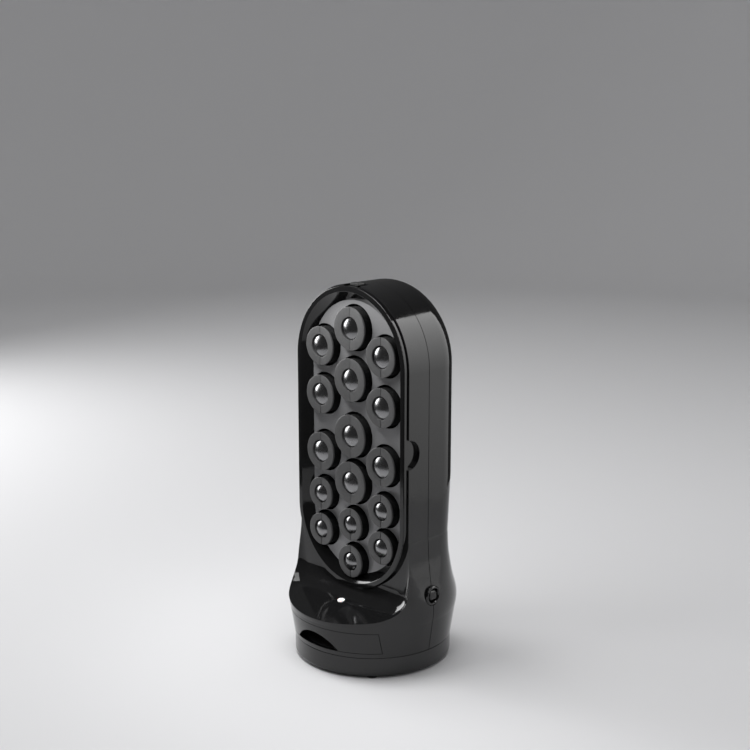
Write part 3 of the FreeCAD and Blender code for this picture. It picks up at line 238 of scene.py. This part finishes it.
def brushed(name, color, along, roughness):
    """Metal with fine scratches drawn out along one axis."""
    paint = Paint(name, color, roughness, metallic=1.0)
    stretch = [2600, 2600, 2600]
    stretch["xyz".index(along)] = 60
    lines = paint.cloud(1.0, 5, 0.7, paint.stretched(*stretch))
    paint.tint(lines, tuple(0.82 * part for part in color), tuple(min(1.0, 1.12 * part) for part in color))
    paint.rough(lines, roughness * 0.8, roughness * 1.4)
    paint.bump((lines, 0.00002, 0.35))
    return paint.material


def rubber():
    """Grey-black rubber with a dusty bloom."""
    paint = Paint("rubber", (0.02, 0.02, 0.02), 0.85, specular=0.3)
    paint.tint(paint.cloud(400, 6, 0.7), (0.014, 0.014, 0.014), (0.04, 0.039, 0.037))
    paint.rough(paint.cloud(150, 3), 0.75, 0.95)
    paint.bump((paint.grains(2200), 0.0001, 0.4))
    return paint.material


def lit_lens():
    """Milky pilot lens that glows a little."""
    paint = Paint("pilot_white", (0.92, 0.92, 0.9), 0.22, Emission_Color=(1.0, 1.0, 0.99, 1.0),
                  Emission_Strength=0.55, Subsurface_Weight=0.1)
    paint.tint(paint.cloud(500, 3), (0.88, 0.88, 0.86), (0.95, 0.95, 0.93))
    paint.bump((paint.grains(1400), 0.00005, 0.3))
    return paint.material


def lamp_glass():
    """Warm glass of the lamp below the lens."""
    paint = Paint("lamp_glass", (0.9, 0.85, 0.75), 0.08, Emission_Color=(1.0, 0.93, 0.8, 1.0),
                  Emission_Strength=0.6)
    paint.tint(paint.cloud(600, 3), (0.86, 0.8, 0.7), (0.95, 0.9, 0.8))
    return paint.material


def slot_materials():
    """One material for each material slot of the record."""
    return {
        "housing": gloss_black("housing_gloss", 0.0075, 0.07, 0.15, 0.05),
        "tray": gloss_black("tray_gloss", 0.004, 0.05, 0.12, 0.04),
        "base": gloss_black("base_gloss", 0.012, 0.16, 0.26, 0.06),
        "trim": satin_plastic("trim_satin", (0.012, 0.012, 0.012), (0.02, 0.02, 0.02), 0.25, 0.4),
        "deck": deck_paint(),
        "heater": brushed("heater_aluminium", (0.62, 0.62, 0.63), "y", 0.3),
        "element": satin_plastic("element_film", (0.42, 0.18, 0.05), (0.55, 0.26, 0.08), 0.25, 0.4),
        "shield": brushed("shield_steel", (0.6, 0.6, 0.61), "z", 0.26),
        "ceramic": satin_plastic("ceramic", (0.72, 0.7, 0.65), (0.82, 0.8, 0.75), 0.4, 0.6),
        "fastener": brushed("fastener_steel", (0.55, 0.55, 0.56), "y", 0.28),
        "control": satin_plastic("control_case", (0.09, 0.07, 0.06), (0.13, 0.1, 0.09), 0.35, 0.5),
        "cap": dark_metal(),
        "foot": rubber(),
        "inner": satin_plastic("inner_plastic", (0.03, 0.03, 0.03), (0.045, 0.045, 0.045), 0.4, 0.55),
        "switch": gloss_black("switch_gloss", 0.005, 0.1, 0.18, 0.03),
        "lens": lit_lens(),
        "lamp": lamp_glass(),
        "flock": flock(),
        "ring": ring_plastic(),
    }


MATERIALS = slot_materials()
SLOTS = {row["node"]: row["material_slot"] for row in frame["record"]["subparts"]}


def paint_nodes():
    """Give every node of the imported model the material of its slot."""
    for name, node in NODES.items():
        node.data.materials.clear()
        node.data.materials.append(MATERIALS[SLOTS[name]])


# ---------------------------------------------------------------------------------------------
# Mesh tools
# ---------------------------------------------------------------------------------------------
def rounded(points, radii, steps=4):
    """A closed outline with each corner rounded by its own radius, as an arc of a few steps."""
    result = []
    count = len(points)
    for number, (corner, radius) in enumerate(zip(points, radii)):
        here = Vector(corner)
        if radius == 0:
            result.append(here)
            continue
        before = (Vector(points[number - 1]) - here).normalized()
        after = (Vector(points[(number + 1) % count]) - here).normalized()
        half = before.angle(after) / 2
        centre = here + (before + after).normalized() * (radius / sin(half))
        start = here + before * (radius / tan(half)) - centre
        end = here + after * (radius / tan(half)) - centre
        first = atan2(start.y, start.x)
        turn = (atan2(end.y, end.x) - first + pi) % (2 * pi) - pi
        for step in range(steps + 1):
            angle = first + turn * step / steps
            result.append(centre + radius * Vector((cos(angle), sin(angle))))
    return result


def sweep(mesh, outline, centre, start=0.0, turn=2 * pi, segments=96):
    """Turn a closed outline of (radius, depth) about an axis along Y; an open turn gets its two ends."""
    closed = abs(turn - 2 * pi) < 1e-9
    stations = segments if closed else segments + 1
    rows = []
    for station in range(stations):
        angle = start + turn * station / segments
        rows.append([mesh.verts.new((centre[0] + point[0] * cos(angle), centre[1] + point[1],
                                     centre[2] + point[0] * sin(angle))) for point in outline])
    count = len(outline)
    for station in range(segments):
        first = rows[station]
        second = rows[(station + 1) % stations]
        for number in range(count):
            after = (number + 1) % count
            mesh.faces.new((first[number], first[after], second[after], second[number]))
    if not closed:
        mesh.faces.new(rows[0])
        mesh.faces.new(list(reversed(rows[-1])))


def disc_sweep(mesh, outline, centre, segments=64):
    """Turn an open outline that starts and ends on the axis into a closed solid."""
    poles = [mesh.verts.new((centre[0], centre[1] + outline[end][1], centre[2])) for end in (0, -1)]
    rings = []
    for radius, depth in outline[1:-1]:
        rings.append([mesh.verts.new((centre[0] + radius * cos(2 * pi * k / segments), centre[1] + depth,
                                      centre[2] + radius * sin(2 * pi * k / segments)))
                      for k in range(segments)])
    for k in range(segments):
        after = (k + 1) % segments
        mesh.faces.new((poles[0], rings[0][after], rings[0][k]))
        mesh.faces.new((poles[1], rings[-1][k], rings[-1][after]))
        for low, high in zip(rings, rings[1:]):
            mesh.faces.new((low[k], low[after], high[after], high[k]))


def piece(name, mesh, slot, body, sharp=radians(35)):
    """Finish a mesh as a smooth-shaded piece that rides on a body and takes a slot's material."""
    bmesh.ops.recalc_face_normals(mesh, faces=mesh.faces)
    data = bpy.data.meshes.new(name)
    mesh.to_mesh(data)
    mesh.free()
    data.shade_smooth()
    data.set_sharp_from_angle(angle=sharp)
    data.materials.append(MATERIALS[slot])
    made = bpy.data.objects.new(name, data)
    bpy.context.scene.collection.objects.link(made)
    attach(made, body)
    return made


# ---------------------------------------------------------------------------------------------
# Rollers
# ---------------------------------------------------------------------------------------------
class Roller:
    """Place and sizes of one roller, read from the box of its end rings."""

    def __init__(self, station):
        low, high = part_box("roller_rings_" + station)
        self.station = station
        self.body = "roller_" + station
        self.radius = (high.x - low.x) / 2
        self.centre = ((low.x + high.x) / 2, 0.0, (low.z + high.z) / 2)
        self.front = low.y
        self.rear = high.y
        self.bore = NARROW_BORE if self.radius < MEDIUM_LIMIT else WIDE_BORE


def split_ring(roller):
    """Front ring: two halves that lean towards a split, on a whole ring, with a stepped outer edge."""
    mesh = bmesh.new()
    face = roller.front
    back = roller.front + RING_DEPTH
    seat = face + SPLIT_DEPTH
    rim = face + RIM_DEPTH
    outer = roller.radius
    inner = roller.bore
    crown = rounded([(inner, face), (outer, face), (outer, seat), (inner, seat)],
                    [BORE_ROUND, RING_ROUND, 0, 0])
    for start in (-pi / 2, pi / 2):
        gap = SPLIT / 2 / ((outer + inner) / 2)
        before = len(mesh.verts)
        sweep(mesh, crown, roller.centre, start + gap, pi - 2 * gap, 64)
        mesh.verts.ensure_lookup_table()
        for vertex in mesh.verts[before:]:
            aside = abs(vertex.co.x - roller.centre[0])
            toward = (seat - vertex.co.y) / (seat - face)
            vertex.co.y += (outer - aside) * VALLEY * toward
            square_end(vertex, roller, gap)
    edge = outer - HALVES_PROUD
    neck = outer - RING_STEP
    base = rounded([(inner, seat - LAP), (edge, seat - LAP), (edge, rim), (neck, rim), (neck, back),
                    (inner, back)], [0, 0, 0.1 * MM, 0, 0, 0])
    sweep(mesh, base, roller.centre)
    return mesh


def square_end(vertex, roller, gap):
    """Make the walls of the split parallel: a radial end becomes a straight one."""
    aside = vertex.co.x - roller.centre[0]
    height = vertex.co.z - roller.centre[2]
    reach = hypot(aside, height)
    if abs(aside) < reach * sin(gap) * 1.0001:
        side = SPLIT / 2 if aside > 0 else -SPLIT / 2
        vertex.co.x = roller.centre[0] + side
        vertex.co.z = roller.centre[2] + sqrt(reach ** 2 - side ** 2) * (1 if height > 0 else -1)


def rear_ring(mesh, roller):
    """Rear ring: plain, rounded, with a shallow groove round its back face."""
    back = roller.rear
    face = back - RING_DEPTH
    outer = roller.radius
    inner = roller.bore
    middle = (outer + inner) / 2
    floor = back - GROOVE_DEPTH
    outline = rounded(
        [(inner, face), (outer, face), (outer, back), (middle + GROOVE_MOUTH, back),
         (middle + GROOVE_FLOOR, floor), (middle - GROOVE_FLOOR, floor), (middle - GROOVE_MOUTH, back),
         (inner, back)],
        [0, 0.3 * MM, RING_ROUND] + 4 * [0.2 * MM] + [0.4 * MM], 3)
    sweep(mesh, outline, roller.centre)


def flocked_barrel(roller):
    """Tube between the rings, its pile uneven by about a tenth of a millimetre."""
    mesh = bmesh.new()
    start = roller.front + RIM_DEPTH
    end = roller.rear - RING_DEPTH
    outer = roller.radius - RING_PROUD
    inner = roller.radius - FLOCK_WRAP
    seat = roller.front + RING_DEPTH
    skin = [(outer, start + (end - start) * row / FLOCK_ROWS) for row in range(FLOCK_ROWS + 1)]
    outline = skin + [(roller.bore, end), (roller.bore, seat), (inner, seat), (inner, start)]
    sweep(mesh, outline, roller.centre, segments=88)
    for vertex in mesh.verts:
        spoke = Vector((vertex.co.x - roller.centre[0], 0, vertex.co.z - roller.centre[2]))
        if spoke.length < outer - PILE_EDGE or vertex.co.y < start + PILE_EDGE:
            continue
        tuft = noise.fractal(vertex.co * PILE_TUFTS, 1.0, 2.0, 3)
        vertex.co += spoke.normalized() * (PILE_RELIEF * tuft - PILE_SINK)
    return mesh


def build_rollers():
    """Rings and flock of all rollers."""
    prefix = "roller_rings_"
    rollers = [Roller(name[len(prefix):]) for name in sorted(NODES) if name.startswith(prefix)]
    for roller in rollers:
        mesh = split_ring(roller)
        rear_ring(mesh, roller)
        rings = piece("end_rings_" + roller.station, mesh, "ring", roller.body)
        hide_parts(prefix + roller.station)
        tube = piece("flock_" + roller.station, flocked_barrel(roller), "flock", roller.body)
        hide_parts("roller_barrel_" + roller.station)
    return rollers


def build_caps(rollers):
    """Domed caps on the posts, each with a small step at the foot of its dome."""
    mesh = bmesh.new()
    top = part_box("post_caps")[0].y
    for roller in rollers:
        radius = roller.bore - POST_GAP
        edge = top + CAP_RISE
        bulge = (radius ** 2 + CAP_RISE ** 2) / (2 * CAP_RISE)
        lip = radius - CAP_LIP
        dome = []
        for step in range(DOME_STEPS + 1):
            across = lip * step / DOME_STEPS
            dome.append((across, top + bulge - sqrt(bulge ** 2 - across ** 2)))
        skirt = [(lip, dome[-1][1] + CAP_STEP), (radius - CAP_BEVEL, edge + CAP_BEVEL_START),
                 (radius, edge + CAP_BEVEL_END), (radius, edge + CAP_SKIRT), (0.0, edge + CAP_SKIRT)]
        disc_sweep(mesh, dome + skirt, roller.centre)
    caps = piece("cap_domes", mesh, "cap", "root", radians(50))
    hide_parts("post_caps")


# ---------------------------------------------------------------------------------------------
# Switch and feet
# ---------------------------------------------------------------------------------------------
def facing_right(mesh, centre):
    """Turn a mesh made about an axis along Y, front to -Y, so that it faces +X from a centre."""
    for vertex in mesh.verts:
        vertex.co = Vector((centre.x - vertex.co.y, centre.y + vertex.co.x, centre.z + vertex.co.z))


def build_switch():
    """Ring of the switch: a rounded lip round a dish that leads down to the rocker."""
    low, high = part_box("switch_bezel")
    rocker_low, rocker_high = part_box("switch_rocker")
    deep = high.x - low.x
    radius = (high.z - low.z) / 2
    opening = (rocker_high.z - rocker_low.z) / 2 + SWITCH_GAP
    rear_inset, rear_round = SWITCH_REAR
    corners = [(opening, deep, 0), (radius - rear_inset, deep, rear_round)]
    corners += [(radius - inset, depth, ease) for inset, depth, ease in SWITCH_LIP]
    corners += [(opening, SWITCH_DISH, SWITCH_ROUND)]
    mesh = bmesh.new()
    sweep(mesh, rounded([corner[:2] for corner in corners], [corner[2] for corner in corners]), (0, 0, 0))
    facing_right(mesh, Vector((high.x, (low.y + high.y) / 2, (low.z + high.z) / 2)))
    ring = piece("switch_ring", mesh, "switch", "root")
    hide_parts("switch_bezel")


def build_rocker():
    """Oval rocker: a flat pad that tilts back, rolled over above and below, with a soft edge all round."""
    low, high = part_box("switch_rocker")
    wheel = (high.z - low.z) / 2
    middle = Vector(((low.x + wheel), (low.y + high.y) / 2, (low.z + high.z) / 2))
    half = (high.y - low.y) / 2
    flat = high.x - middle.x - ROCKER_SINK
    mesh = bmesh.new()
    top = mesh.verts.new(middle + Vector((flat, 0, 0)))
    rows = []
    for share in (0.25, 0.5, 0.7, ROCKER_EDGE, 0.93, 0.98, 1.0):
        fall = ROCKER_FALL * max(0.0, (share - ROCKER_EDGE) / (1 - ROCKER_EDGE)) ** 2
        row = []
        for k in range(ROCKER_SEGMENTS):
            across = half * share * cos(2 * pi * k / ROCKER_SEGMENTS)
            up = ROCKER_HEIGHT * wheel * share * sin(2 * pi * k / ROCKER_SEGMENTS)
            roll = sqrt(wheel ** 2 - up ** 2)
            face = flat + up * tan(ROCKER_TILT)
            depth = min(roll, face) - fall
            row.append(mesh.verts.new(middle + Vector((depth, across, up))))
        rows.append(row)
    back = [mesh.verts.new((middle.x - ROCKER_BACK, vertex.co.y, vertex.co.z)) for vertex in rows[-1]]
    rows.append(back)
    for k in range(ROCKER_SEGMENTS):
        after = (k + 1) % ROCKER_SEGMENTS
        mesh.faces.new((top, rows[0][k], rows[0][after]))
        for first, second in zip(rows, rows[1:]):
            mesh.faces.new((first[k], second[k], second[after], first[after]))
    mesh.faces.new(back)
    rocker = piece("rocker_pad", mesh, "switch", "switch_rocker", radians(50))
    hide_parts("switch_rocker")


def build_feet():
    """Rubber feet: turned pads with a rounded edge and a ring groove underneath."""
    mesh = bmesh.new()
    low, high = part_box("rubber_feet")
    radius = FOOT_RADIUS
    thick = high.z - low.z
    outline = [(0, thick), (radius - FOOT_BEVEL, thick), (radius, thick - FOOT_BEVEL), (radius, FOOT_ROUND),
               (radius - 0.1 * MM, 0.12 * MM), (radius - FOOT_ROUND, 0), (0.62 * radius, 0),
               (0.56 * radius, FOOT_GROOVE), (0.46 * radius, FOOT_GROOVE), (0.4 * radius, 0), (0, 0)]
    for x in (low.x + radius, high.x - radius):
        for y in (low.y + radius, high.y - radius):
            before = len(mesh.verts)
            disc_sweep(mesh, outline, (0, 0, 0), 40)
            mesh.verts.ensure_lookup_table()
            for vertex in mesh.verts[before:]:
                vertex.co = Vector((x + vertex.co.x, y + vertex.co.z, low.z + vertex.co.y))
    feet = piece("foot_pads", mesh, "foot", "root")
    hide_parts("rubber_feet")


# ---------------------------------------------------------------------------------------------
# Studio
# ---------------------------------------------------------------------------------------------
TABLE = 0.55                       # radius of the floor that shows in reflections
STUDIO = 3.2                       # radius of the round studio wall
WALL_TOP = 4.0                     # height of that wall
BEND = 1.0                         # radius of the curve from floor to wall
FLOOR_MIDWAY = 1.2                 # a ring of the floor's mesh between the two
BEND_STEP = 9                      # degrees between the rings of the curve
FOCUS = (0, 0, 0.17)               # middle of the object, where the lights look
# place, target, width and height, and watts of each light
LIGHTS = {
    "left_softbox": ((-1.34, -0.25, 0.55), FOCUS, (0.85, 0.70), 13),
    "near_light": ((-0.06, -0.12, 0.42), (0, -0.02, 0.33), (0.2, 0.06), 1.2),
    "top_light": ((-0.1, 0.1, 2.4), FOCUS, (1.8, 1.8), 40),
    "fill_light": ((1.6, -0.5, 1.5), FOCUS, (1.2, 1.2), 5),
}
CARD_PLACE = (1.15, 1.15, 0.47)
CARD_TARGET = (0, 0, 0.47)
CARD_SIZE = (1.9, 2.7)
CARD_GLOW = (0.0, 4.2)             # strength at the card's lower and upper edge
WORLD_GREY = 0.5
WORLD_STRENGTH = 0.12


def floor_paper():
    """Pale matt paper of the floor and the wall."""
    paint = Paint("pale_floor", (0.63, 0.63, 0.64), 0.6, specular=0.2)
    paint.bump((paint.cloud(300, 3), 0.0002, 0.05))
    return paint.material


def turned_sheet(name, outline, material, segments=96):
    """A sheet of the studio, turned about the upright axis."""
    mesh = bmesh.new()
    spokes = [(cos(2 * pi * k / segments), sin(2 * pi * k / segments)) for k in range(segments)]
    rows = [[mesh.verts.new((radius * x, radius * y, height)) for x, y in spokes]
            for radius, height in outline]
    for low, high in zip(rows, rows[1:]):
        for k in range(segments):
            after = (k + 1) % segments
            mesh.faces.new((low[k], high[k], high[after], low[after]))
    data = bpy.data.meshes.new(name)
    mesh.to_mesh(data)
    mesh.free()
    data.shade_smooth()
    data.materials.append(material)
    made = bpy.data.objects.new(name, data)
    bpy.context.scene.collection.objects.link(made)
    return made


def build_floor():
    """Pale floor that curves up into a wall all round; only its middle shows in reflections."""
    paper = floor_paper()
    turned_sheet("floor_middle", [(0.0001, 0), (0.2, 0), (TABLE, 0)], paper)
    curve = [(STUDIO - BEND + BEND * sin(angle), BEND - BEND * cos(angle))
             for angle in [radians(step) for step in range(0, 91, BEND_STEP)]]
    wall = turned_sheet("floor_wall", [(TABLE, 0), (FLOOR_MIDWAY, 0)] + curve + [(STUDIO, WALL_TOP)], paper)
    wall.visible_glossy = False


def aimed(place, target):
    """Rotation that makes a light or card at a place face a target."""
    return (Vector(target) - Vector(place)).to_track_quat("-Z", "Y").to_euler()


def area_light(name, place, target, size, power):
    """A soft rectangular light that looks at a point and stays out of the picture itself."""
    light = bpy.data.lights.new(name, "AREA")
    light.shape = "RECTANGLE"
    light.size, light.size_y = size
    light.energy = power
    made = bpy.data.objects.new(name, light)
    made.location = place
    made.rotation_euler = aimed(place, target)
    bpy.context.scene.collection.objects.link(made)
    made.visible_camera = False
    return made


def card(name, place, target, size, low, high):
    """A glowing card that only reflections see, its light going from low to high up the card."""
    material = bpy.data.materials.new(name)
    material.use_nodes = True
    nodes = material.node_tree.nodes
    links = material.node_tree.links
    nodes.remove(nodes["Principled BSDF"])
    glow = nodes.new("ShaderNodeEmission")
    links.new(glow.outputs["Emission"], nodes["Material Output"].inputs["Surface"])
    split = nodes.new("ShaderNodeSeparateXYZ")
    links.new(nodes.new("ShaderNodeTexCoord").outputs["Generated"], split.inputs["Vector"])
    grade = nodes.new("ShaderNodeMapRange")
    for key, value in (("From Min", 0.0), ("From Max", 1.0), ("To Min", low), ("To Max", high)):
        grade.inputs[key].default_value = value
    links.new(split.outputs["Y"], grade.inputs["Value"])
    links.new(grade.outputs["Result"], glow.inputs["Strength"])
    width, height = size
    data = bpy.data.meshes.new(name)
    corners = [(-width / 2, -height / 2, 0), (width / 2, -height / 2, 0), (width / 2, height / 2, 0),
               (-width / 2, height / 2, 0)]
    data.from_pydata(corners, [], [(0, 1, 2, 3)])
    data.materials.append(material)
    made = bpy.data.objects.new(name, data)
    made.location = place
    made.rotation_euler = aimed(place, target)
    bpy.context.scene.collection.objects.link(made)
    made.visible_camera = False
    made.visible_diffuse = False
    made.visible_shadow = False


def build_lights():
    """Softbox at the left, graded card behind on the right, light from above and a small near light."""
    for name, (place, target, size, power) in LIGHTS.items():
        light = area_light(name, place, target, size, power)
        light.visible_glossy = name != "near_light"
    card("right_card", CARD_PLACE, CARD_TARGET, CARD_SIZE, *CARD_GLOW)
    world = bpy.data.worlds.new("studio")
    bpy.context.scene.world = world
    world.use_nodes = True
    background = world.node_tree.nodes["Background"]
    background.inputs["Color"].default_value = (WORLD_GREY, WORLD_GREY, WORLD_GREY, 1)
    background.inputs["Strength"].default_value = WORLD_STRENGTH


# ---------------------------------------------------------------------------------------------
# Camera
# ---------------------------------------------------------------------------------------------
CAMERA_PLACE = (0.8538, -0.8390, 0.5104)
CAMERA_TURN = radians(45.4)        # from looking along +Y, towards -X
CAMERA_PITCH = radians(12.12)      # downwards
LENS = 67.2                        # mm, on a sensor of this width
SENSOR = 36.0


def build_camera():
    """Camera in front of the right corner, above the top of the object."""
    camera = bpy.data.cameras.new("camera")
    camera.sensor_width = SENSOR
    camera.lens = LENS
    camera.clip_start = 0.05
    camera.clip_end = 30.0
    made = bpy.data.objects.new("camera", camera)
    level = cos(CAMERA_PITCH)
    forward = Vector((-sin(CAMERA_TURN) * level, cos(CAMERA_TURN) * level, -sin(CAMERA_PITCH)))
    right = Vector((cos(CAMERA_TURN), sin(CAMERA_TURN), 0))
    up = right.cross(forward)
    rotation = Matrix((right, up, -forward)).transposed()
    made.matrix_world = Matrix.Translation(CAMERA_PLACE) @ rotation.to_4x4()
    bpy.context.scene.collection.objects.link(made)
    bpy.context.scene.camera = made


paint_nodes()
ALL_ROLLERS = build_rollers()
build_caps(ALL_ROLLERS)
build_switch()
build_rocker()
build_feet()
build_floor()
build_lights()
build_camera()
bpy.context.scene.view_settings.view_transform = "Standard"

bpy.context.view_layer.update()
